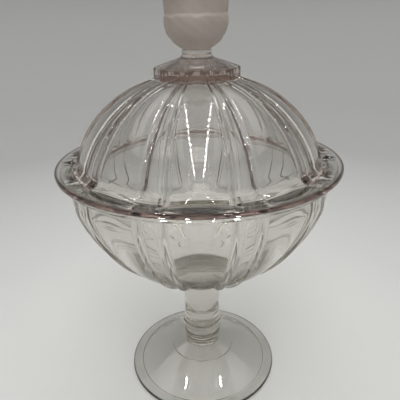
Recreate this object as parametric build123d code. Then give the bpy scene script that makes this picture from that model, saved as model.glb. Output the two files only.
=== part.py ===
from build123d import *
import math
import os

# A tall covered candy dish in pressed glass: a domed foot, a ringed collar, a plain stem and a
# panelled bowl, and over it a panelled dome lid with a wide flange, a scalloped crown, a short
# neck and a frosted finial.  Millimetres, +Z up, origin at the middle of the foot's resting face.

# ---------------------------------------------------------------- driving dimensions
# Pattern that runs round the bowl, the lid and the crown
PANEL_COUNT = 10                # wide panels round the dish
PANEL_ANGLE = 24.0              # degrees that one wide panel takes
RIB_ANGLE = 2.6                 # degrees that one rib takes
BOWL_RIB_HEIGHT = 1.6           # rib top above the wide panel, on the bowl
BOWL_FLUTE_HEIGHT = 0.6         # floor of the flute between two ribs above the wide panel
LID_RIB_HEIGHT = 1.6
LID_FLUTE_HEIGHT = 0.6

# Foot
FOOT_RADIUS = 66.0
FOOT_EDGE_HEIGHT = 3.6          # thickness of the rounded rim of the foot
FOOT_BEARING_WIDTH = 10.0       # flat ring that touches the table
FOOT_WALL = 6.0
FOOT_HOLLOW_ROUNDNESS = 1.6     # exponent of the hollow's curve
FOOT_SLOPE_DIP = 1.0            # the slope from pad to rim sags this far below a straight line
PAD_RADIUS = 28.0               # raised pad on the foot
PAD_STEP = 1.0
PAD_HEIGHT = 19.0               # height of the pad's outer edge
FOOT_HEIGHT = 24.0              # height of the foot where the collar stands on it

# Stem, and the collar below it, whose waist and rings are sized from the stem
STEM_RADIUS = 15.3
STEM_HEIGHT = 39.5
COLLAR_HEIGHT = 33.0
COLLAR_WAIST_DEPTH = 0.3        # the waist on the foot is this much slimmer than the stem
LOW_RING_BASE = 0.3             # how far each part of the rings stands out past the stem
LOW_RING_CREST = 1.3
LOW_RING_TOP = 0.6
HIGH_RING_BASE = 0.9
HIGH_RING_CREST = 2.3
HIGH_RING_TOP = 1.3
COLLAR_SHOULDER = 1.0
LOW_RING_SHARE = (0.22, 0.40)   # where each part starts and ends, as a share of the collar's height
HIGH_RING_SHARE = (0.46, 0.70)
SHOULDER_SHARE = 0.76

# Bowl
BOWL_RADIUS = 98.5              # outside, on the wide panels
BOWL_DEPTH = 81.5               # from its underside to its widest circle
BOWL_NECK_HEIGHT = 14.2         # upright wall from the widest circle to the rim's underside
BOWL_WALL = 4.2
BOWL_FLOOR = 6.0
BOWL_ROUNDNESS = 2.3            # exponents of the bowl's curve; 2 and 2 would be an ellipse
BOWL_SIDE_FULLNESS = 1.33
RIM_OVERHANG = 6.0              # rim past the wide panels
RIM_THICKNESS = 3.8

# Lid
FLANGE_OVERHANG = 3.5           # flange past the bowl's rim
FLANGE_THICKNESS = 3.8
DOME_INSET = 1.1                # the dome's widest circle is this much smaller than the bowl's mouth
DOME_HEIGHT = 78.0              # from the widest circle to where the curve would close
DOME_SINK = 11.0                # the widest circle lies this far below the flange's underside
DOME_SWEEP_HEIGHT = 5.8         # the dome sweeps out into the flange over this height and width
DOME_SWEEP_WIDTH = 8.0
DOME_WALL = 4.2
DOME_TOP_WALL = 8.0
LIP_CLEARANCE = 1.0             # between the lid's locating lip and the bowl's mouth
LIP_HEIGHT = 4.0
LIP_WALL = 3.6

# Crown, neck and finial
CROWN_RADIUS = 30.2
CROWN_LOBE_HEIGHT = 1.2         # narrow lobes stand out this far past the flat ones
CROWN_EDGE_HEIGHT = 6.4
CROWN_CONE_HEIGHT = 8.0
NECK_RADIUS = 10.8
NECK_FLARE = 0.9
NECK_HEIGHT = 4.9
FINIAL_SEAT_INSET = 1.2         # the finial's foot is this much slimmer than the neck
SHELL_RADIUS = 22.9             # lower half of the frosted egg
SHELL_DEPTH = 18.7
SHELL_EDGE_HEIGHT = 2.4         # broken edge of the shell above its widest circle
SHELL_STEP = 1.1
CAP_INSET = 0.2                 # the upper half of the egg is this much slimmer than the shell
CAP_RISE = 10.0                 # widest circle of the upper half above the shell's edge
CAP_HEIGHT = 22.0

# ---------------------------------------------------------------- derived sizes
PERIOD = 360.0 / PANEL_COUNT
FLUTE_ANGLE = PERIOD - PANEL_ANGLE

COLLAR_TOP = FOOT_HEIGHT + COLLAR_HEIGHT
BOWL_BOTTOM = COLLAR_TOP + STEM_HEIGHT
BOWL_WIDEST = BOWL_BOTTOM + BOWL_DEPTH
RIM_BOTTOM = BOWL_WIDEST + BOWL_NECK_HEIGHT
SEAT = RIM_BOTTOM + RIM_THICKNESS       # where the lid's flange rests on the bowl's rim
MOUTH_RADIUS = BOWL_RADIUS - BOWL_WALL
RIM_RADIUS = BOWL_RADIUS + RIM_OVERHANG
RIB_START_RADIUS = 2 * STEM_RADIUS      # the bowl's ribs start this far out
WAIST_RADIUS = STEM_RADIUS - COLLAR_WAIST_DEPTH

FLANGE_RADIUS = RIM_RADIUS + FLANGE_OVERHANG
FLANGE_TOP = SEAT + FLANGE_THICKNESS
DOME_RADIUS = MOUTH_RADIUS - DOME_INSET
DOME_WIDEST = SEAT - DOME_SINK
LIP_RADIUS = MOUTH_RADIUS - LIP_CLEARANCE
LIP_INNER_RADIUS = LIP_RADIUS - LIP_WALL

SPLINE_STEPS = 12


def ellipse_rise(radius, height, at_radius):
    """Height above the widest circle where an upright half ellipse has the given radius."""
    return height * math.sqrt(max(0.0, 1.0 - (at_radius / radius) ** 2))


CROWN_SEAT = DOME_WIDEST + ellipse_rise(DOME_RADIUS + LID_RIB_HEIGHT, DOME_HEIGHT, CROWN_RADIUS)
CROWN_TOP = CROWN_SEAT + CROWN_EDGE_HEIGHT
NECK_BOTTOM = CROWN_TOP + CROWN_CONE_HEIGHT
FINIAL_BOTTOM = NECK_BOTTOM + NECK_HEIGHT


# ---------------------------------------------------------------- curves
def bowl_curve(radius, bottom, start_radius, grow=0.0):
    """Points of the bowl's side from a small radius near its underside to its widest circle."""
    depth = BOWL_WIDEST - bottom + grow
    points = []
    for step in range(SPLINE_STEPS + 1):
        share = step / SPLINE_STEPS
        r = start_radius + (radius - start_radius) * math.sin(share * math.pi / 2)
        fill = 1.0 - (r / radius) ** BOWL_ROUNDNESS
        drop = depth * max(0.0, fill) ** (1.0 / BOWL_SIDE_FULLNESS)
        points.append((r, 0, BOWL_WIDEST - drop))
    return points


def ellipse_curve(radius, height, centre, start, end):
    """Points of an upright half ellipse between two angles measured from its widest circle."""
    points = []
    for step in range(SPLINE_STEPS + 1):
        angle = start + (end - start) * step / SPLINE_STEPS
        points.append((radius * math.cos(angle), 0, centre + height * math.sin(angle)))
    return points


def dome_curve(radius, height, low, high):
    """Points of the dome's side between two heights above its widest circle."""
    return ellipse_curve(radius, height, DOME_WIDEST, math.asin(low / height), math.asin(high / height))


def spun(*edges, arc=360.0):
    """Solid made by turning a closed outline in the XZ plane about Z."""
    return revolve(make_face(list(edges)), Axis.Z, revolution_arc=arc)


def ring_of(solid, count, first, step):
    """Copies of a solid turned about Z."""
    return [Rot(0, 0, first + index * step) * solid for index in range(count)]


# ---------------------------------------------------------------- base
def foot():
    """Domed foot, hollow underneath, with a raised pad where the collar stands."""
    edge_round = FOOT_EDGE_HEIGHT / 2
    hollow_radius = FOOT_RADIUS - FOOT_BEARING_WIDTH
    hollow_top = FOOT_HEIGHT - FOOT_WALL
    top_edge = Edge.make_line((0, 0, FOOT_HEIGHT), (WAIST_RADIUS, 0, FOOT_HEIGHT))
    pad = Edge.make_line((WAIST_RADIUS, 0, FOOT_HEIGHT), (PAD_RADIUS, 0, PAD_HEIGHT))
    step = Edge.make_line((PAD_RADIUS, 0, PAD_HEIGHT), (PAD_RADIUS, 0, PAD_HEIGHT - PAD_STEP))
    slope = Spline(
        (PAD_RADIUS, 0, PAD_HEIGHT - PAD_STEP),
        ((PAD_RADIUS + FOOT_RADIUS) / 2, 0, (PAD_HEIGHT + FOOT_EDGE_HEIGHT) / 2 - FOOT_SLOPE_DIP),
        (FOOT_RADIUS - edge_round, 0, FOOT_EDGE_HEIGHT),
    )
    rim = ThreePointArc(
        (FOOT_RADIUS - edge_round, 0, FOOT_EDGE_HEIGHT),
        (FOOT_RADIUS, 0, edge_round),
        (FOOT_RADIUS - edge_round, 0, 0),
    )
    bearing = Edge.make_line((FOOT_RADIUS - edge_round, 0, 0), (hollow_radius, 0, 0))
    hollow = []
    for index in range(SPLINE_STEPS + 1):
        share = 1 - index / SPLINE_STEPS
        hollow.append((hollow_radius * share, 0, hollow_top * (1 - share ** FOOT_HOLLOW_ROUNDNESS)))
    axis = Edge.make_line((0, 0, hollow_top), (0, 0, FOOT_HEIGHT))
    return spun(top_edge, pad, step, slope, rim, bearing, Spline(*hollow), axis)


def stem_collar():
    """Turned collar: a narrow waist on the pad, two rings, and a smooth taper to the stem."""
    def at(proud, share):
        return (STEM_RADIUS + proud, 0, FOOT_HEIGHT + COLLAR_HEIGHT * share)

    def ring(base, crest, top, shares):
        start, end = shares
        return ThreePointArc(at(base, start), at(crest, (start + end) / 2), at(top, end))

    waist = (WAIST_RADIUS, 0, FOOT_HEIGHT)
    low_ring = ring(LOW_RING_BASE, LOW_RING_CREST, LOW_RING_TOP, LOW_RING_SHARE)
    high_ring = ring(HIGH_RING_BASE, HIGH_RING_CREST, HIGH_RING_TOP, HIGH_RING_SHARE)
    shoulder = at(COLLAR_SHOULDER, SHOULDER_SHARE)
    top = (STEM_RADIUS, 0, COLLAR_TOP)
    return spun(
        Edge.make_line((0, 0, FOOT_HEIGHT), waist),
        Edge.make_line(waist, low_ring @ 0),
        low_ring,
        Edge.make_line(low_ring @ 1, high_ring @ 0),
        high_ring,
        Edge.make_line(high_ring @ 1, shoulder),
        Edge.make_line(shoulder, top),
        Edge.make_line(top, (0, 0, COLLAR_TOP)),
        Edge.make_line((0, 0, COLLAR_TOP), (0, 0, FOOT_HEIGHT)),
    )


def stem():
    """Plain solid stem."""
    return Pos(0, 0, COLLAR_TOP) * Cylinder(
        STEM_RADIUS, STEM_HEIGHT, align=(Align.CENTER, Align.CENTER, Align.MIN)
    )


def bowl_rib(height, arc):
    """One raised stretch of the bowl's outside, turned through an arc."""
    inside = bowl_curve(BOWL_RADIUS - BOWL_WALL / 2, BOWL_BOTTOM + BOWL_FLOOR / 2, RIB_START_RADIUS)
    outside = bowl_curve(BOWL_RADIUS + height, BOWL_BOTTOM, RIB_START_RADIUS, height)
    top_in = (inside[-1][0], 0, RIM_BOTTOM)
    top_out = (outside[-1][0], 0, RIM_BOTTOM)
    return spun(
        Spline(*inside),
        Edge.make_line(inside[-1], top_in),
        Edge.make_line(top_in, top_out),
        Edge.make_line(top_out, outside[-1]),
        Spline(*outside),
        Edge.make_line(outside[0], inside[0]),
        arc=arc,
    )


def bowl():
    """Open bowl with a flared rim; ribs in pairs between the wide panels."""
    outside = bowl_curve(BOWL_RADIUS, BOWL_BOTTOM, STEM_RADIUS)
    inside = bowl_curve(MOUTH_RADIUS, BOWL_BOTTOM + BOWL_FLOOR, 0)
    under = (0, 0, BOWL_BOTTOM)
    stem_edge = (STEM_RADIUS, 0, BOWL_BOTTOM)
    rim_round = RIM_THICKNESS / 2
    shell = spun(
        Edge.make_line(under, stem_edge),
        Edge.make_line(stem_edge, outside[0]),
        Spline(*outside),
        Edge.make_line(outside[-1], (BOWL_RADIUS, 0, RIM_BOTTOM)),
        Edge.make_line((BOWL_RADIUS, 0, RIM_BOTTOM), (RIM_RADIUS - rim_round, 0, RIM_BOTTOM)),
        ThreePointArc(
            (RIM_RADIUS - rim_round, 0, RIM_BOTTOM),
            (RIM_RADIUS, 0, RIM_BOTTOM + rim_round),
            (RIM_RADIUS - rim_round, 0, SEAT),
        ),
        Edge.make_line((RIM_RADIUS - rim_round, 0, SEAT), (MOUTH_RADIUS, 0, SEAT)),
        Edge.make_line((MOUTH_RADIUS, 0, SEAT), inside[-1]),
        Spline(*inside),
        Edge.make_line(inside[0], under),
    )
    return shell + pattern(bowl_rib, BOWL_RIB_HEIGHT, BOWL_FLUTE_HEIGHT)


def pattern(rib, rib_height, flute_height):
    """Raised flutes between the wide panels, each with a rib along both its edges."""
    first = -90 + PANEL_ANGLE / 2
    last = first + FLUTE_ANGLE - RIB_ANGLE
    return (
        ring_of(rib(flute_height, FLUTE_ANGLE), PANEL_COUNT, first, PERIOD)
        + ring_of(rib(rib_height, RIB_ANGLE), PANEL_COUNT, first, PERIOD)
        + ring_of(rib(rib_height, RIB_ANGLE), PANEL_COUNT, last, PERIOD)
    )


# ---------------------------------------------------------------- lid
def dome_rib(height, arc):
    """One raised stretch of the dome's outside, turned through an arc."""
    low = FLANGE_TOP - DOME_WIDEST
    high = CROWN_SEAT - DOME_WIDEST
    outside = dome_curve(DOME_RADIUS + height, DOME_HEIGHT, low, high)
    depth = DOME_WALL / 2
    inside = dome_curve(DOME_RADIUS - depth, DOME_HEIGHT - depth, low, high - depth)
    return spun(
        Spline(*outside),
        Edge.make_line(outside[-1], (inside[-1][0], 0, CROWN_SEAT)),
        Edge.make_line((inside[-1][0], 0, CROWN_SEAT), inside[-1]),
        Spline(*inside),
        Edge.make_line(inside[0], outside[0]),
        arc=arc,
    )


def sweep_into_flange(start):
    """Arc from a point on the dome that ends flat on the top of the flange."""
    radius = (DOME_SWEEP_WIDTH ** 2 + DOME_SWEEP_HEIGHT ** 2) / (2 * DOME_SWEEP_HEIGHT)
    end = (start[0] + DOME_SWEEP_WIDTH, 0, FLANGE_TOP)
    first = math.pi + math.asin((radius - DOME_SWEEP_HEIGHT) / radius)
    halfway = (first + 1.5 * math.pi) / 2
    middle = (end[0] + radius * math.cos(halfway), 0, FLANGE_TOP + radius * (1 + math.sin(halfway)))
    return ThreePointArc(start, middle, end)


def lid():
    """Dome with a wide flange that rests on the bowl's rim, and a lip that keeps it centred."""
    low = FLANGE_TOP + DOME_SWEEP_HEIGHT - DOME_WIDEST
    outside = dome_curve(DOME_RADIUS, DOME_HEIGHT, low, CROWN_SEAT - DOME_WIDEST)
    sweep = sweep_into_flange(outside[0])
    hollow_height = DOME_HEIGHT - DOME_TOP_WALL
    inside = dome_curve(DOME_RADIUS - DOME_WALL, hollow_height, DOME_SINK, hollow_height)
    flange_round = FLANGE_THICKNESS / 2
    lip_bottom = SEAT - LIP_HEIGHT
    shell = spun(
        Edge.make_line((0, 0, CROWN_SEAT), outside[-1]),
        Spline(*outside),
        sweep,
        Edge.make_line(sweep @ 1, (FLANGE_RADIUS - flange_round, 0, FLANGE_TOP)),
        ThreePointArc(
            (FLANGE_RADIUS - flange_round, 0, FLANGE_TOP),
            (FLANGE_RADIUS, 0, SEAT + flange_round),
            (FLANGE_RADIUS - flange_round, 0, SEAT),
        ),
        Edge.make_line((FLANGE_RADIUS - flange_round, 0, SEAT), (LIP_RADIUS, 0, SEAT)),
        Edge.make_line((LIP_RADIUS, 0, SEAT), (LIP_RADIUS, 0, lip_bottom)),
        Edge.make_line((LIP_RADIUS, 0, lip_bottom), (LIP_INNER_RADIUS, 0, lip_bottom)),
        Edge.make_line((LIP_INNER_RADIUS, 0, lip_bottom), inside[0]),
        Spline(*inside),
        Edge.make_line(inside[-1], (0, 0, CROWN_SEAT)),
    )
    return shell + pattern(dome_rib, LID_RIB_HEIGHT, LID_FLUTE_HEIGHT)


def lid_crown():
    """Scalloped collar on the dome: flat wide lobes, rounded narrow lobes, and a low cone."""
    corners = []
    for index in range(PANEL_COUNT):
        panel = math.radians(-90 + index * PERIOD)
        half = math.radians(PANEL_ANGLE / 2)
        for angle in (panel - half, panel + half):
            corners.append((CROWN_RADIUS * math.cos(angle), CROWN_RADIUS * math.sin(angle)))
    edges = []
    for index in range(PANEL_COUNT):
        start = corners[2 * index]
        end = corners[2 * index + 1]
        following = corners[(2 * index + 2) % len(corners)]
        between = math.radians(-90 + (index + 0.5) * PERIOD)
        bulge = CROWN_RADIUS + CROWN_LOBE_HEIGHT
        edges.append(Edge.make_line(start, end))
        edges.append(ThreePointArc(end, (bulge * math.cos(between), bulge * math.sin(between)), following))
    height = CROWN_EDGE_HEIGHT + CROWN_CONE_HEIGHT
    prism = Pos(0, 0, CROWN_SEAT) * extrude(make_face(edges), height)
    reach = CROWN_RADIUS + 2 * CROWN_LOBE_HEIGHT
    neck = NECK_RADIUS + NECK_FLARE
    envelope = spun(
        Edge.make_line((0, 0, CROWN_SEAT), (reach, 0, CROWN_SEAT)),
        Edge.make_line((reach, 0, CROWN_SEAT), (reach, 0, CROWN_TOP - CROWN_LOBE_HEIGHT)),
        Edge.make_line((reach, 0, CROWN_TOP - CROWN_LOBE_HEIGHT), (neck, 0, NECK_BOTTOM)),
        Edge.make_line((neck, 0, NECK_BOTTOM), (0, 0, NECK_BOTTOM)),
        Edge.make_line((0, 0, NECK_BOTTOM), (0, 0, CROWN_SEAT)),
    )
    return prism & envelope


def finial_neck():
    """Short clear neck between the crown and the finial."""
    low = (NECK_RADIUS + NECK_FLARE, 0, NECK_BOTTOM)
    high = (NECK_RADIUS, 0, FINIAL_BOTTOM)
    waist = (NECK_RADIUS - NECK_FLARE / 2, 0, (NECK_BOTTOM + FINIAL_BOTTOM) / 2)
    return spun(
        Edge.make_line((0, 0, NECK_BOTTOM), low),
        ThreePointArc(low, waist, high),
        Edge.make_line(high, (0, 0, FINIAL_BOTTOM)),
        Edge.make_line((0, 0, FINIAL_BOTTOM), (0, 0, NECK_BOTTOM)),
    )


def finial():
    """Frosted egg: a lower shell with a stepped edge, and a rounded upper half set in it."""
    shell_widest = FINIAL_BOTTOM + SHELL_DEPTH
    shell_edge = shell_widest + SHELL_EDGE_HEIGHT
    cap_widest = shell_edge + CAP_RISE
    seat_angle = math.acos((NECK_RADIUS - FINIAL_SEAT_INSET) / SHELL_RADIUS)
    shell_height = SHELL_DEPTH / math.sin(seat_angle)
    shell = ellipse_curve(SHELL_RADIUS, shell_height, shell_widest, -seat_angle, 0)
    cap = ellipse_curve(SHELL_RADIUS - CAP_INSET, CAP_HEIGHT, cap_widest, 0, math.pi / 2)
    step = (SHELL_RADIUS - SHELL_STEP, 0, shell_edge)
    return spun(
        Edge.make_line((0, 0, FINIAL_BOTTOM), shell[0]),
        Spline(*shell),
        Edge.make_line(shell[-1], (SHELL_RADIUS, 0, shell_edge)),
        Edge.make_line((SHELL_RADIUS, 0, shell_edge), step),
        Edge.make_line(step, cap[0]),
        Spline(*cap),
        Edge.make_line(cap[-1], (0, 0, FINIAL_BOTTOM)),
    )


# ---------------------------------------------------------------- export
NODES = {
    "foot": foot,
    "stem_collar": stem_collar,
    "stem": stem,
    "bowl": bowl,
    "lid": lid,
    "lid_crown": lid_crown,
    "finial_neck": finial_neck,
    "finial": finial,
}

os.makedirs("parts", exist_ok=True)
for name, make in NODES.items():
    export_step(make(), f"parts/{name}.step")
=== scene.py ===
import math

import bpy
import numpy as np
from mathutils import Matrix, Vector


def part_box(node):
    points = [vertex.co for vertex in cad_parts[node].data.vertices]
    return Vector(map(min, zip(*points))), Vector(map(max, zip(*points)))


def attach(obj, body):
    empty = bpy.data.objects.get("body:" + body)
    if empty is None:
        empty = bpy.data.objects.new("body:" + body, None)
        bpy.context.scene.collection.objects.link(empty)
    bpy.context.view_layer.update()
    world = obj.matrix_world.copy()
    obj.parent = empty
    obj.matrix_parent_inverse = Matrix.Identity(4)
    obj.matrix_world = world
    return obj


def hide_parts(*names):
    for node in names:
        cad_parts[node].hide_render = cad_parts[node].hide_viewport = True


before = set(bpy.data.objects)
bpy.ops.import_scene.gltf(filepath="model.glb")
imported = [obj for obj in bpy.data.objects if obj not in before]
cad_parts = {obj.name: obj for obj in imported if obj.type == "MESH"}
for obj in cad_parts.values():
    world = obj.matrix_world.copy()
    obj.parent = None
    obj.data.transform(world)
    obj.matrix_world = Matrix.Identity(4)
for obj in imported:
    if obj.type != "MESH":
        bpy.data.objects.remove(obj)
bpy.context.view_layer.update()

MM = 0.001

# ------------------------------------------------------------------ sizes read from the frame
# A box is its lowest corner and its highest corner
FOOT_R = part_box("foot")[1][0] / MM
STEM_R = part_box("stem")[1][0] / MM
RIM_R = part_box("bowl")[1][0] / MM
FLANGE_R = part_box("lid")[1][0] / MM
NECK_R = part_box("finial_neck")[1][0] / MM
Z_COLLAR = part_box("stem_collar")[0][2] / MM
Z_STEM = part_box("stem")[0][2] / MM
Z_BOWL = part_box("bowl")[0][2] / MM
Z_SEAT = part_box("bowl")[1][2] / MM
Z_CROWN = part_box("lid_crown")[0][2] / MM
Z_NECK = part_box("finial_neck")[0][2] / MM
Z_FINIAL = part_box("finial")[0][2] / MM
Z_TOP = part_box("finial")[1][2] / MM

# ------------------------------------------------------------------ sizes of the glass, in millimetres
FOOT_EDGE = 3.6
FOOT_WALL = 6.0
FOOT_STEP = 0.9
BEARING_WIDTH = 10.0
PAD_R = 28.0
PAD_Z = 19.0
BOWL_R = RIM_R - 6.0
BOWL_DEPTH = 81.5
BOWL_WALL = 4.2
BOWL_FLOOR = 6.0
Z_WIDEST = Z_BOWL + BOWL_DEPTH
RIM_THICK = 3.8
Z_RIM = Z_SEAT - RIM_THICK
MOUTH_R = BOWL_R - BOWL_WALL

FLANGE_THICK = 3.8
Z_FLANGE = Z_SEAT + FLANGE_THICK
DOME_R = MOUTH_R - 1.1
DOME_H = 78.0
Z_DOME = Z_SEAT - 11.0
DOME_IN_R = DOME_R - 4.2
DOME_IN_H = 73.0
LIP_R = MOUTH_R - 1.0
LIP_WALL = 3.6
LIP_H = 4.0
SWEEP_HEIGHT = 5.8
SWEEP_WIDTH = 8.0
CROWN_R = 30.2
CROWN_LOBE = 1.2
CROWN_EDGE = 7.6
SHELL_R = 22.9
SHELL_DEPTH = 18.7
Z_SHELL_EDGE = Z_FINIAL + SHELL_DEPTH + 2.4
CAP_R = 22.7

# Coincident faces of two glasses render black, so the lid and the finial hover by these gaps
LID_GAP = 0.2
FINIAL_GAP = 0.05

# The collar's outline: share of its height, radius beyond the stem, and corner radius
COLLAR_RINGS = [
    (0.22, -0.1, 0.6),
    (0.27, 1.0, 0.7),
    (0.35, 1.0, 0.7),
    (0.40, 0.5, 0.5),
    (0.46, 0.9, 0.5),
    (0.50, 2.0, 0.9),
    (0.66, 2.1, 0.9),
    (0.70, 1.2, 0.6),
    (0.76, 0.7, 1.0),
    (1.00, 0.0, 6.0),
]

# The pattern round the dish: ten panels, with two thin ribs and a flute between one and the next.
# A panel's dip is how far its edges lie below the plain surface
PANELS = 10
PERIOD = 360.0 / PANELS
PANEL_HALF = 12.0
RIB = 2.6
RIB_HEIGHT = 1.4
BOWL_DIP = 1.6
LID_TOP_DIP = 0.5
LID_LOW_DIP = 2.6
FULL_PATTERN_R = 62   # inside this radius the pattern is lower

# How finely the meshes are divided
CORNER_STEPS = 6
CURVE_STEPS = 34
GLASS_STEP = 2.8
FINIAL_STEP = 0.9


# ------------------------------------------------------------------ the pattern round the dish
def angles():
    """Every angle round the dish, in degrees, starting at the middle of the front panel."""
    # from a panel's middle to a flute's, close together over the rib
    half = [0, 2, 4, 6, 8, 9.5, 10.6, 11.4, 12, 12.5, 12.9, 13.3, 13.7, 14.1, 14.6, 15.2, 16.4, 18]
    period = half[:-1] + [PERIOD - a for a in reversed(half[1:])]
    return np.array([-90 + k * PERIOD + a for k in range(PANELS) for a in period])


ANGLES = angles()
ROUND = np.radians(ANGLES)[None, :]
OFFSET = np.abs((ANGLES + 90 + PERIOD / 2) % PERIOD - PERIOD / 2)   # degrees from a panel's middle


def smooth(x):
    """Nought below 0, one above 1, and a soft step between."""
    x = np.clip(x, 0, 1)
    return x * x * (3 - 2 * x)


def ribs(panel_dip):
    """Height of the pattern over the plain surface, in millimetres, at every profile point and angle.

    Each panel is rounder than the dish; panel_dip is its dip at every profile point."""
    middle = PANEL_HALF + RIB / 2
    bump = (0.5 + 0.5 * np.cos(np.pi * np.clip((OFFSET - middle) / (RIB / 2 + 0.4), -1, 1))) ** 0.8
    dip = -panel_dip[:, None] * np.clip(OFFSET / PANEL_HALF, 0, 1) ** 2
    ground = np.where(OFFSET < middle, dip, 0.0)
    return ground + (RIB_HEIGHT - ground) * bump


def panel_dip_share():
    """Share of a panel's dip at every angle: none in its middle, all at its edges, fading in the flute."""
    return np.clip(OFFSET / PANEL_HALF, 0, 1) ** 2 * (1 - smooth((OFFSET - PANEL_HALF) / 4))


def crown_outline():
    """Share of the crown's radius at every angle: flat wide lobes and rounded narrow ones."""
    flat = math.cos(math.radians(PANEL_HALF)) / np.cos(np.radians(OFFSET))
    across = np.clip((OFFSET - PANEL_HALF) / (PERIOD / 2 - PANEL_HALF), 0, 1)
    lobe = 1 + CROWN_LOBE / CROWN_R * np.sin(np.pi / 2 * across)
    groove = -0.05 * np.exp(-((OFFSET - PANEL_HALF) / 0.8) ** 2)
    return np.where(OFFSET < PANEL_HALF, flat, lobe) + groove


# ------------------------------------------------------------------ lines of a profile, as (r, z)
def arc(centre, radius, start, end, steps):
    """Points of an arc in the profile's plane; angles in degrees from outward, up positive."""
    turns = [math.radians(start + (end - start) * k / steps) for k in range(steps + 1)]
    return [(centre[0] + radius * math.cos(t), centre[1] + radius * math.sin(t)) for t in turns]


def parabola(start, middle, end, steps):
    """Points after the start of a parabola that passes the middle point halfway along."""
    start = np.array(start)
    end = np.array(end)
    pull = 2 * np.array(middle) - (start + end) / 2
    out = []
    for s in np.linspace(0, 1, steps + 1)[1:]:
        p = start * (1 - s) ** 2 + 2 * s * (1 - s) * pull + end * s ** 2
        out.append((float(p[0]), float(p[1])))
    return out


def bowl_line(radius, bottom, start):
    """The bowl's curve from a small radius near its underside to its widest circle."""
    out = []
    for k in range(CURVE_STEPS + 1):
        r = start + (radius - start) * math.sin(k / CURVE_STEPS * math.pi / 2)
        out.append((r, Z_WIDEST - (Z_WIDEST - bottom) * max(0, 1 - (r / radius) ** 2.3) ** (1 / 1.33)))
    return out


def dome_line(radius, height, low, high):
    """The dome's ellipse between two heights above its widest circle, from low to high."""
    first = math.asin(low / height)
    last = math.asin(min(1, high / height))
    turns = [first + (last - first) * k / CURVE_STEPS for k in range(CURVE_STEPS + 1)]
    return [(radius * math.cos(t), Z_DOME + height * math.sin(t)) for t in turns]


def round_corner(here, before, after, radius):
    """Points of the arc that rounds one corner, given the steps to its two neighbours."""
    length_before = np.linalg.norm(before)
    length_after = np.linalg.norm(after)
    to_before = before / length_before
    to_after = after / length_after
    half = math.acos(float(np.clip(to_before @ to_after, -1, 1))) / 2
    nearly_straight = abs(math.pi / 2 - half) < 0.02
    if nearly_straight:
        return [tuple(here)]
    cut = min(radius / math.tan(half), 0.49 * length_before, 0.49 * length_after)
    arc_radius = cut * math.tan(half)
    inward = (to_before + to_after) / np.linalg.norm(to_before + to_after)
    middle = here + inward * (arc_radius / math.sin(half))
    start = here + to_before * cut - middle
    end = here + to_after * cut - middle
    sweep = math.acos(float(np.clip(start @ end / (arc_radius * arc_radius), -1, 1)))
    out = []
    for s in range(CORNER_STEPS + 1):
        t = s / CORNER_STEPS
        spoke = (start * math.sin((1 - t) * sweep) + end * math.sin(t * sweep)) / math.sin(sweep)
        out.append(tuple(middle + spoke))
    return out


def rounded(points):
    """Same line with its corners rounded: each point is (r, z) or (r, z, corner radius)."""
    out = [points[0]]
    for before, p, after in zip(points, points[1:], points[2:]):
        if len(p) == 2:
            out.append(p)
            continue
        here = np.array(p[:2], float)
        out += round_corner(here, np.array(before[:2]) - here, np.array(after[:2]) - here, p[2])
    out.append(points[-1])
    return out


def resample(points, longest):
    """Same line with no step longer than the given length and no point twice."""
    out = [points[0]]
    for a, b in zip(points, points[1:]):
        pieces = max(1, math.ceil(math.dist(a, b) / longest))
        for s in range(1, pieces + 1):
            t = s / pieces
            p = (a[0] + (b[0] - a[0]) * t, a[1] + (b[1] - a[1]) * t)
            if math.dist(p, out[-1]) > 1e-4:
                out.append(p)
    return out


# ------------------------------------------------------------------ the outlines of the pieces
def base_profile():
    """Foot, collar, stem and bowl as one closed outline, from the axis under the foot to the axis
    in the bowl."""
    hollow_r = FOOT_R - BEARING_WIDTH
    hollow_depth = Z_COLLAR - FOOT_WALL - FOOT_STEP
    shares = np.linspace(0, 1, 24)
    line = [(hollow_r * s, FOOT_STEP + hollow_depth * (1 - s ** 1.6)) for s in shares[:-1]]
    line += [(hollow_r, FOOT_STEP, 0.3), (hollow_r, 0.0, 0.3)]
    edge = FOOT_EDGE / 2
    line += [(FOOT_R - edge, 0.0)]
    line += arc((FOOT_R - edge, edge), edge, -90, 90, 10)[1:]
    halfway = ((PAD_R + FOOT_R) / 2, (PAD_Z + FOOT_EDGE) / 2 - 1)
    line += parabola((FOOT_R - edge, FOOT_EDGE), halfway, (PAD_R, PAD_Z - 1), 15)
    line[-1] += (0.5,)
    line += [(PAD_R - 0.2, PAD_Z, 0.6), (STEM_R - 0.3, Z_COLLAR, 1.6)]
    line += [(STEM_R + proud, Z_COLLAR + (Z_STEM - Z_COLLAR) * share, corner)
             for share, proud, corner in COLLAR_RINGS]
    line += [(STEM_R, Z_BOWL - 0.2, 2.5)]
    line += bowl_line(BOWL_R, Z_BOWL, STEM_R)[2:]
    line += [(BOWL_R, Z_RIM, 3.5), (RIM_R, Z_RIM, 0.8), (RIM_R, Z_SEAT, 1.0), (MOUTH_R, Z_SEAT, 1.0)]
    line += bowl_line(MOUTH_R, Z_BOWL + BOWL_FLOOR, 0.0)[::-1]
    return resample(rounded(line), GLASS_STEP)


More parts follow.
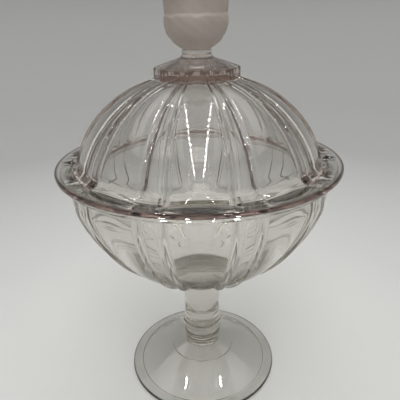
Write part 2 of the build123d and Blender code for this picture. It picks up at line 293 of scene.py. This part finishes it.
def lid_profile():
    """Neck, crown, dome and flange as one closed outline, from the axis under the dome to the axis
    on the neck."""
    line = [(0.0, Z_FINIAL), (NECK_R - 0.9, Z_FINIAL, 0.4), (NECK_R - 1.3, (Z_NECK + Z_FINIAL) / 2, 3.0),
            (NECK_R, Z_NECK, 1.0), (CROWN_R, Z_CROWN + CROWN_EDGE, 0.8), (CROWN_R, Z_CROWN, 0.5)]
    dome = dome_line(DOME_R, DOME_H, Z_FLANGE - Z_DOME, Z_CROWN - Z_DOME)[::-1]
    line += [dome[0] + (0.6,)]
    line += [p for p in dome[1:] if p[1] > Z_FLANGE + SWEEP_HEIGHT]
    sweep_r = (SWEEP_WIDTH ** 2 + SWEEP_HEIGHT ** 2) / (2 * SWEEP_HEIGHT)
    first = 180 + math.degrees(math.asin((sweep_r - SWEEP_HEIGHT) / sweep_r))
    line += arc((line[-1][0] + SWEEP_WIDTH, Z_FLANGE + sweep_r), sweep_r, first, 270, 12)[1:]
    z_under = Z_SEAT + LID_GAP
    line += [(FLANGE_R, Z_FLANGE, 1.3), (FLANGE_R, z_under, 1.1), (LIP_R, z_under, 0.4),
             (LIP_R, Z_SEAT - LIP_H, 1.0), (LIP_R - LIP_WALL, Z_SEAT - LIP_H, 1.0)]
    line += dome_line(DOME_IN_R, DOME_IN_H, Z_SEAT - Z_DOME, DOME_IN_H)
    return resample(rounded(line), GLASS_STEP)[::-1]


def finial_profile():
    """Frosted egg: a lower shell with a broken edge, and the rounded upper half set in it."""
    seat_r = NECK_R - 2.1
    angle = math.acos(seat_r / SHELL_R)
    height = SHELL_DEPTH / math.sin(angle)
    widest = Z_FINIAL + SHELL_DEPTH
    lower = [(SHELL_R * math.cos(a), widest + height * math.sin(a)) for a in np.linspace(-angle, 0, 22)]
    z_cap = Z_SHELL_EDGE + 10
    upper = [(CAP_R * math.cos(a), z_cap + (Z_TOP - z_cap) * math.sin(a))
             for a in np.linspace(0, math.pi / 2, 30)]
    z_under = Z_FINIAL + FINIAL_GAP
    line = [(0.0, z_under), (lower[0][0], z_under, 0.5)] + lower[1:]
    line += [(SHELL_R, Z_SHELL_EDGE, 1.2), (SHELL_R - 0.8, Z_SHELL_EDGE + 2.0, 1.2),
             (CAP_R - 0.3, Z_SHELL_EDGE + 4.5)]
    return resample(rounded(line + upper), FINIAL_STEP)


# ------------------------------------------------------------------ meshes
def normals(points):
    """Outward normals of a profile that runs anticlockwise round the glass."""
    t = np.gradient(points, axis=0)
    t /= np.linalg.norm(t, axis=1)[:, None] + 1e-12
    return np.stack([t[:, 1], -t[:, 0]], 1)


def shell(name, profile, displace):
    """Closed mesh of revolution whose points are moved along the profile's normal.

    displace gives the move in millimetres, and a radius factor, for each profile point and angle."""
    p = np.array(profile)
    n = normals(p)
    move, factor = displace(p, n)
    r = np.maximum(0.0, p[:, :1] * factor + n[:, :1] * move)
    z = p[:, 1:] + n[:, 1:] * move
    grid = np.stack([r * np.cos(ROUND), r * np.sin(ROUND), z], -1)[1:-1] * MM
    rows, cols = grid.shape[:2]
    verts = np.concatenate([[[0, 0, p[0, 1] * MM]], grid.reshape(-1, 3), [[0, 0, p[-1, 1] * MM]]])
    last = len(verts) - 1
    faces = []
    for j in range(cols):
        k = (j + 1) % cols
        faces.append((0, 1 + k, 1 + j))
        faces.append((last, 1 + (rows - 1) * cols + j, 1 + (rows - 1) * cols + k))
    i, j = np.meshgrid(np.arange(rows - 1), np.arange(cols), indexing="ij")
    a = 1 + i * cols + j
    b = 1 + i * cols + (j + 1) % cols
    faces += np.stack([a, b, b + cols, a + cols], -1).reshape(-1, 4).tolist()
    mesh = bpy.data.meshes.new(name)
    mesh.from_pydata(verts.tolist(), [], faces)
    mesh.validate()
    mesh.shade_smooth()
    piece = bpy.data.objects.new(name, mesh)
    bpy.context.collection.objects.link(piece)
    return piece


def waves(z, phase):
    """Slow unevenness of pressed glass, round the dish and up it, in millimetres."""
    z = z[:, None]
    return (0.10 * np.sin(3 * ROUND + z / 31 + phase) + 0.08 * np.sin(5 * ROUND - z / 17 + 2 * phase)
            + 0.05 * np.sin(11 * ROUND + z / 9 + 3 * phase) + 0.03 * np.sin(17 * ROUND - z / 6 + phase))


def unevenness(r, z, phase, seats, inside):
    """Waves pressed into the surface, a little of them both ways inside, none at the axis or seats."""
    wave = waves(z, phase) * np.where(seats, 0, smooth(r / 12))[:, None]
    return 0.5 * np.minimum(wave, 0.0) + 0.05 * wave * inside[:, None]


def base_shape(p, n):
    """Ribs on the outside of the bowl and a little way under its rim."""
    r, z = p.T
    outside = (n[:, 0] > 0.05) | (n[:, 1] < -0.3)
    on_bowl = outside & (z > Z_BOWL - 1) & (z < Z_RIM + 0.5) & (r < BOWL_R + 0.6)
    scale = np.clip(r / FULL_PATTERN_R, 0.35, 1) * smooth((r - STEM_R - 8) / 14) * on_bowl
    under_rim = (np.abs(z - Z_RIM) < 1.5) & (r > BOWL_R)
    scale = np.where(under_rim, smooth(1 - (r - BOWL_R) / 4), scale)
    seats = (z < 0.5) | ((z > Z_SEAT - 0.3) & (r > MOUTH_R))
    pattern = ribs(np.full(len(p), BOWL_DIP))
    move = pattern * scale[:, None] + unevenness(r, z, 0.7, seats, ~outside)
    return move, np.ones_like(move)


def lid_shape(p, n):
    """Ribs on the dome, which run out on the flange, and the crown's lobes.

    The dome's inside follows the roundness of the panels, so that the glass keeps its thickness."""
    r, z = p.T
    dip = LID_TOP_DIP + (LID_LOW_DIP - LID_TOP_DIP) * smooth((r - 40) / 50)
    on_dome = (n[:, 1] > 0.02) & (z < Z_CROWN + 0.2) & (z > Z_FLANGE - 0.3) & (r >= CROWN_R)
    run_out = np.where(r > DOME_R, smooth((FLANGE_R - 5 - r) / 9), 1)
    scale = np.clip(r / FULL_PATTERN_R, 0.4, 1) * on_dome * run_out
    inside = n[:, 1] < 0.02
    follow = dip * np.clip(r / FULL_PATTERN_R, 0, 1) * inside * smooth((z - Z_SEAT - 3) / 9)
    seats = (np.abs(z - Z_SEAT) < 0.5) | (z > Z_FINIAL - 0.3)
    move = ribs(dip) * scale[:, None] + unevenness(r, z, 2.1, seats, inside)
    move += follow[:, None] * panel_dip_share()
    crown = smooth((r - NECK_R - 2) / 10) * (z > Z_CROWN - 0.3) * (r < CROWN_R + 1)
    return move, 1 + (crown_outline() - 1) * crown[:, None]


def finial_shape(p, n):
    """Low uneven relief all over the frosted egg."""
    r = p[:, :1]
    z = p[:, 1:]
    relief = (0.30 * np.sin(4 * ROUND + z / 3.1) * np.sin(3 * ROUND - z / 4.7 + 1)
              + 0.16 * np.sin(9 * ROUND + z / 1.9 + 2) * np.sin(z / 2.3 + 5 * ROUND))
    body = smooth((r - 6) / 8)
    move = -0.45 * body + 0.8 * relief * body
    return move, np.ones_like(move)


def break_edge(piece):
    """Make the finial's step run unevenly round it, as if the lower shell were broken off there."""
    for v in piece.data.vertices:
        near = math.exp(-((v.co.z / MM - Z_SHELL_EDGE) / 1.8) ** 2)
        a = math.atan2(v.co.y, v.co.x)
        wide = 0.3 * math.asin(math.sin(9 * a + 0.8 * math.sin(2 * a)))
        fine = 0.2 * math.asin(math.sin(14 * a + 1.3))
        v.co.z += near * (wide + fine) * MM


base_glass = shell("base_glass", base_profile(), base_shape)
lid_glass = shell("lid_glass", lid_profile(), lid_shape)
finial_frosted = shell("finial_frosted", finial_profile(), finial_shape)
break_edge(finial_frosted)


# ------------------------------------------------------------------ materials
def material(name):
    m = bpy.data.materials.new(name)
    m.use_nodes = True
    return m, m.node_tree, m.node_tree.nodes["Principled BSDF"]


def noise(nt, scale, detail, rough=0.5):
    coord = nt.nodes.new("ShaderNodeTexCoord")
    n = nt.nodes.new("ShaderNodeTexNoise")
    n.inputs["Scale"].default_value = scale
    n.inputs["Detail"].default_value = detail
    n.inputs["Roughness"].default_value = rough
    nt.links.new(coord.outputs["Object"], n.inputs["Vector"])
    return n.outputs["Fac"]


def ramp(nt, value, stops):
    """Colour ramp through the stops, each (position, colour)."""
    r = nt.nodes.new("ShaderNodeValToRGB")
    elements = r.color_ramp.elements
    while len(elements) < len(stops):
        elements.new(0.5)
    for element, (position, colour) in zip(elements, stops):
        element.position = position
        element.color = colour + (1,)
    nt.links.new(value, r.inputs["Fac"])
    return r.outputs["Color"]


def grey(v):
    return (v, v, v)


def bump(nt, bsdf, value, strength):
    b = nt.nodes.new("ShaderNodeBump")
    b.inputs["Strength"].default_value = strength
    b.inputs["Distance"].default_value = 0.3 * MM
    nt.links.new(value, b.inputs["Height"])
    nt.links.new(b.outputs["Normal"], bsdf.inputs["Normal"])


def share_between(nt, value, start, end):
    """Nought where the value is at the start, one at the end; both in millimetres."""
    share = nt.nodes.new("ShaderNodeMapRange")
    share.inputs["From Min"].default_value = start * MM
    share.inputs["From Max"].default_value = end * MM
    nt.links.new(value, share.inputs["Value"])
    return share.outputs["Result"]


def place(nt):
    """The point's x, y and z in the object's frame."""
    split = nt.nodes.new("ShaderNodeSeparateXYZ")
    nt.links.new(nt.nodes.new("ShaderNodeTexCoord").outputs["Object"], split.inputs[0])
    return split.outputs


def edge_shade_share(nt, near, far, below):
    """One where painted shade darkens a round part's very edge, none inside the radius near or above the
    height below.
    """
    x, y, z = place(nt)
    flat = nt.nodes.new("ShaderNodeCombineXYZ")
    nt.links.new(x, flat.inputs["X"])
    nt.links.new(y, flat.inputs["Y"])
    radius = nt.nodes.new("ShaderNodeVectorMath")
    radius.operation = "LENGTH"
    nt.links.new(flat.outputs[0], radius.inputs[0])
    both = nt.nodes.new("ShaderNodeMath")
    both.operation = "MULTIPLY"
    nt.links.new(share_between(nt, radius.outputs["Value"], near, far), both.inputs[0])
    nt.links.new(share_between(nt, z, below, below - 1.0), both.inputs[1])
    return both.outputs[0]


def blend(nt, share, first, second, mode="MIX"):
    """Mix of two colours. The share is a socket or a number, each colour a socket or three numbers."""
    mix = nt.nodes.new("ShaderNodeMix")
    mix.data_type = "RGBA"
    mix.blend_type = mode
    for socket, value in ((mix.inputs["Factor"], share), (mix.inputs[6], first), (mix.inputs[7], second)):
        if isinstance(value, tuple):
            socket.default_value = value + (1,)
        elif isinstance(value, float):
            socket.default_value = value
        else:
            nt.links.new(value, socket)
    return mix.outputs[2]


def clear_glass(name, absorbed, density, low_tint, high_tint, change, edge, edge_painted_shade):
    """Pressed glass with a tint below and above the height of the change, painted light and shade on one
    glass, and a dark tint at the edge, a painted shade.
    """
    m, nt, bsdf = material(name)
    bsdf.inputs["Transmission Weight"].default_value = 1.0
    bsdf.inputs["IOR"].default_value = 1.51
    height = share_between(nt, place(nt)[2], change - 3, change + 6)
    uneven = ramp(nt, noise(nt, 18, 2), [(0.3, (0.975, 0.97, 0.965)), (0.7, (1.0, 1.0, 0.995))])
    # Painted light and shade: the same glass tinted lighter on one side of the change than on the other.
    tint = blend(nt, 1.0, blend(nt, height, low_tint, high_tint), uneven, "MULTIPLY")
    # Painted shade: a dark tint over the glass's outer edge, for the dark line seen along it.
    tint = blend(nt, edge_shade_share(nt, *edge), tint, edge_painted_shade)
    nt.links.new(tint, bsdf.inputs["Base Color"])
    wear = ramp(nt, noise(nt, 260, 6, 0.65), [(0.62, grey(0.015)), (0.80, grey(0.09))])
    nt.links.new(wear, bsdf.inputs["Roughness"])
    bump(nt, bsdf, noise(nt, 45, 1), 0.08)
    absorb = nt.nodes.new("ShaderNodeVolumeAbsorption")
    absorb.inputs["Color"].default_value = absorbed + (1,)
    absorb.inputs["Density"].default_value = density
    nt.links.new(absorb.outputs["Volume"], nt.nodes["Material Output"].inputs["Volume"])
    return m


def frosted_glass():
    m, nt, bsdf = material("frosted_glass")
    bsdf.inputs["Transmission Weight"].default_value = 0.55
    bsdf.inputs["IOR"].default_value = 1.5
    bsdf.inputs["Specular IOR Level"].default_value = 0.35
    tint = ramp(nt, noise(nt, 60, 4), [(0.3, (0.64, 0.57, 0.515)), (0.7, (0.76, 0.685, 0.625))])
    nt.links.new(tint, bsdf.inputs["Base Color"])
    rough = ramp(nt, noise(nt, 400, 4), [(0.3, grey(0.50)), (0.7, grey(0.66))])
    nt.links.new(rough, bsdf.inputs["Roughness"])
    bump(nt, bsdf, noise(nt, 900, 4), 0.35)
    return m


finial_frosted.data.materials.append(frosted_glass())
# Base: foot and stem tinted lighter than the bowl, painted light on them; the foot's rim darkened, painted
# shade.
base_glass.data.materials.append(clear_glass(
    "pressed_glass_base", (0.40, 0.34, 0.20), 11.0,
    low_tint=(1.0, 1.0, 0.99), high_tint=(0.93, 0.925, 0.905), change=Z_BOWL,
    edge=(FOOT_R - 1.6, FOOT_R - 0.8, FOOT_EDGE + 1), edge_painted_shade=(0.42, 0.40, 0.37)))
# Lid: tinted darker below the crown, painted light on the crown; the flange's edge darkened, painted shade.
lid_glass.data.materials.append(clear_glass(
    "pressed_glass_lid", (0.42, 0.25, 0.17), 14.0,
    low_tint=(0.93, 0.93, 0.92), high_tint=(1.0, 1.0, 1.0), change=Z_CROWN,
    edge=(FLANGE_R - 2.8, FLANGE_R - 1.0, Z_SEAT + 8), edge_painted_shade=(0.19, 0.115, 0.10)))

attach(base_glass, "base")
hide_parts("foot", "stem_collar", "stem", "bowl")
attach(lid_glass, "cover")
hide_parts("lid", "lid_crown", "finial_neck")
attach(finial_frosted, "cover")
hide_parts("finial")

# ------------------------------------------------------------------ sizes of the stage, in metres and degrees
CAMERA_PLACE = Vector((0.00024, -0.3145, 0.2974))
CAMERA_DOWN = 23.24
CAMERA_ROLL = -1.18
TABLE_Z = -0.0002
TABLE_R = 1.3
SWEEP_R = 0.9
LAMP_STRENGTH = 190.0
LAMPS_Z = 0.9
CARD_Z = 0.95


# ------------------------------------------------------------------ floor, walls and light
def stage_piece(name, verts, faces, m):
    """Object of the stage with one material."""
    mesh = bpy.data.meshes.new(name)
    mesh.from_pydata(verts, [], faces)
    mesh.materials.append(m)
    piece = bpy.data.objects.new(name, mesh)
    bpy.context.collection.objects.link(piece)
    return piece


def paper_painted_light_shade():
    """Matt paper with painted light and shade: palest round and under the dish, where its shadow falls, and
    darker outward and up the walls.
    """
    m, nt, bsdf = material("paper_painted_light_shade")
    bsdf.inputs["Roughness"].default_value = 0.7
    bsdf.inputs["Specular IOR Level"].default_value = 0.2
    middle = nt.nodes.new("ShaderNodeVectorMath")
    middle.operation = "LENGTH"
    nt.links.new(nt.nodes.new("ShaderNodeTexCoord").outputs["Object"], middle.inputs[0])
    share = nt.nodes.new("ShaderNodeMath")
    share.operation = "DIVIDE"
    share.inputs[1].default_value = 3.0
    nt.links.new(middle.outputs["Value"], share.inputs[0])
    # Painted light near the middle against the dish's shadow; painted shade falling off outward, darkest high
    # on the walls.
    tint = ramp(nt, share.outputs[0], [
        (0.0, (0.94, 0.94, 0.92)),
        (0.03, (0.90, 0.905, 0.89)),
        (0.055, (0.84, 0.845, 0.83)),
        (0.095, (0.72, 0.725, 0.715)),
        (0.25, (0.50, 0.505, 0.50)),
        (0.66, (0.56, 0.56, 0.55)),
        (0.85, grey(0.43)),
        (0.97, grey(0.20)),
    ])
    nt.links.new(tint, bsdf.inputs["Base Color"])
    bump(nt, bsdf, noise(nt, 300, 4), 0.1)
    return m


def table():
    """Round table top that curves up all round into a wall."""
    line = [(0.2, 0), (0.5, 0), (0.9, 0), (TABLE_R, 0)]
    line += [(TABLE_R + SWEEP_R * math.sin(t), SWEEP_R - SWEEP_R * math.cos(t))
             for t in np.linspace(0, math.pi / 2, 20)[1:]]
    line += [(TABLE_R + SWEEP_R, 1.4), (TABLE_R + SWEEP_R, 2.2)]
    count = 96
    turns = [2 * math.pi * k / count for k in range(count)]
    verts = [(0, 0, TABLE_Z)]
    verts += [(r * math.cos(a), r * math.sin(a), z + TABLE_Z) for r, z in line for a in turns]
    faces = [(0, 1 + k, 1 + (k + 1) % count) for k in range(count)]
    for i in range(len(line) - 1):
        for k in range(count):
            a = 1 + i * count + k
            b = 1 + i * count + (k + 1) % count
            faces.append((a, a + count, b + count, b))
    stage_piece("sweep", verts, faces, paper_painted_light_shade()).data.shade_smooth()


def front_light():
    """Soft light high in front of the dish, without a mirror image in the glass."""
    data = bpy.data.lights.new("front_top", "AREA")
    data.shape = "RECTANGLE"
    data.size = 0.8
    data.size_y = 0.5
    data.energy = 4.5
    data.color = (1, 0.99, 0.97)
    light = bpy.data.objects.new("front_top", data)
    light.location = (0, -1.0, 1.7)
    light.rotation_euler = (Vector((0, 0, 0.1)) - light.location).to_track_quat("-Z", "Y").to_euler()
    bpy.context.collection.objects.link(light)
    light.visible_glossy = False


def mirrored_only(piece, through_glass):
    """Show a stage piece in reflections only, or in them and through glass."""
    piece.visible_camera = False
    piece.visible_diffuse = False
    piece.visible_transmission = through_glass
    piece.visible_shadow = False


def lamp_glow(name):
    """Emission from the front of a face only."""
    m = bpy.data.materials.new(name)
    m.use_nodes = True
    nt = m.node_tree
    strength = nt.nodes.new("ShaderNodeMapRange")
    strength.inputs["To Min"].default_value = LAMP_STRENGTH
    strength.inputs["To Max"].default_value = 0.0
    nt.links.new(nt.nodes.new("ShaderNodeNewGeometry").outputs["Backfacing"], strength.inputs["Value"])
    glow = nt.nodes.new("ShaderNodeEmission")
    nt.links.new(strength.outputs["Result"], glow.inputs["Strength"])
    nt.links.new(glow.outputs[0], nt.nodes["Material Output"].inputs["Surface"])
    return m


def lamps(name, spots, through_glass):
    """Small lamps seen only as highlights, each (place, side, length): half its width and half its
    length as vectors, so that it shines along their cross product."""
    verts = []
    for spot, side, length in spots:
        verts += [spot - side - length, spot + side - length, spot + side + length, spot - side + length]
    faces = [tuple(range(first, first + 4)) for first in range(0, len(verts), 4)]
    mirrored_only(stage_piece(name, verts, faces, lamp_glow(name)), through_glass)


def overhead_lamps():
    """Two rows of lamps overhead that grow and spread toward the front."""
    spots = []
    for side in (-1, 1):
        for k in range(16):
            spots.append((Vector((side * 0.2, 0.22 - 0.05 * k - 0.003 * k * k, LAMPS_Z)),
                          Vector((0.004 + 0.0006 * k, 0, 0)), Vector((0, -0.011 - 0.0009 * k, 0))))
    lamps("led_strips", spots, True)


def foot_lamps():
    """A lamp over each side of the foot."""
    lamps("foot_lamps", [(Vector((side * 0.0348, -0.0405, 0.088)), Vector((0.0013, 0, 0)),
                          Vector((0, -0.005, 0))) for side in (-1, 1)], False)


def rim_lamps():
    """Lamps low in front whose mirror images lie on the front of the bowl's rim."""
    spots = []
    for angle, width in ((-11.4, 0.0032), (-3.4, 0.0022), (4.1, 0.001), (11.4, 0.0026)):
        outward = Vector((math.sin(math.radians(angle)), -math.cos(math.radians(angle)), 0))
        image = outward * RIM_R * MM + Vector((0, 0, (Z_SEAT - 0.62 * RIM_THICK) * MM))
        view = (CAMERA_PLACE - image).normalized()
        mirrored = 2 * outward.dot(view) * outward - view
        side = mirrored.cross(Vector((0, 0, 1))).normalized()
        spots.append((image + 0.04 * mirrored, side * width, side.cross(mirrored) * 0.0014))
    lamps("rim_lamps", spots, False)


def painted_shade_card():
    """Dark card over the overhead lamps, seen only in reflections: painted shade mirrored in the front of the
    dome.
    """
    m, _, bsdf = material("painted_shade_card")
    bsdf.inputs["Base Color"].default_value = (0.06, 0.06, 0.06, 1)
    bsdf.inputs["Roughness"].default_value = 1.0
    verts = [(x, y, CARD_Z) for x, y in ((-0.85, -2.1), (0.85, -2.1), (0.26, 0.3), (-0.26, 0.3))]
    mirrored_only(stage_piece("painted_shade_card", verts, [(0, 1, 2, 3)], m), False)


def room_light():
    """World light, brightest overhead."""
    world = bpy.data.worlds.new("room")
    bpy.context.scene.world = world
    world.use_nodes = True
    nt = world.node_tree
    split = nt.nodes.new("ShaderNodeSeparateXYZ")
    nt.links.new(nt.nodes.new("ShaderNodeTexCoord").outputs["Generated"], split.inputs[0])
    sky = ramp(nt, split.outputs["Z"], [
        (0.5, grey(0.30)),
        (0.72, (0.66, 0.66, 0.655)),
        (0.9, (1.0, 0.995, 0.98)),
    ])
    nt.links.new(sky, nt.nodes["Background"].inputs["Color"])
    nt.nodes["Background"].inputs["Strength"].default_value = 1.5


table()
front_light()
overhead_lamps()
foot_lamps()
rim_lamps()
painted_shade_card()
room_light()

# ------------------------------------------------------------------ camera
camera_data = bpy.data.cameras.new("camera")
camera_data.lens = 37.8
camera_data.sensor_width = 36.0
camera = bpy.data.objects.new("camera", camera_data)
camera.matrix_world = (Matrix.Translation(CAMERA_PLACE)
                       @ Matrix.Rotation(math.radians(90 - CAMERA_DOWN), 4, "X")
                       @ Matrix.Rotation(math.radians(CAMERA_ROLL), 4, "Z"))
bpy.context.collection.objects.link(camera)
bpy.context.scene.camera = camera

scene = bpy.context.scene
scene.view_settings.view_transform = "Standard"
scene.cycles.max_bounces = 24
scene.cycles.transmission_bounces = 24
scene.cycles.glossy_bounces = 12
scene.cycles.caustics_reflective = False
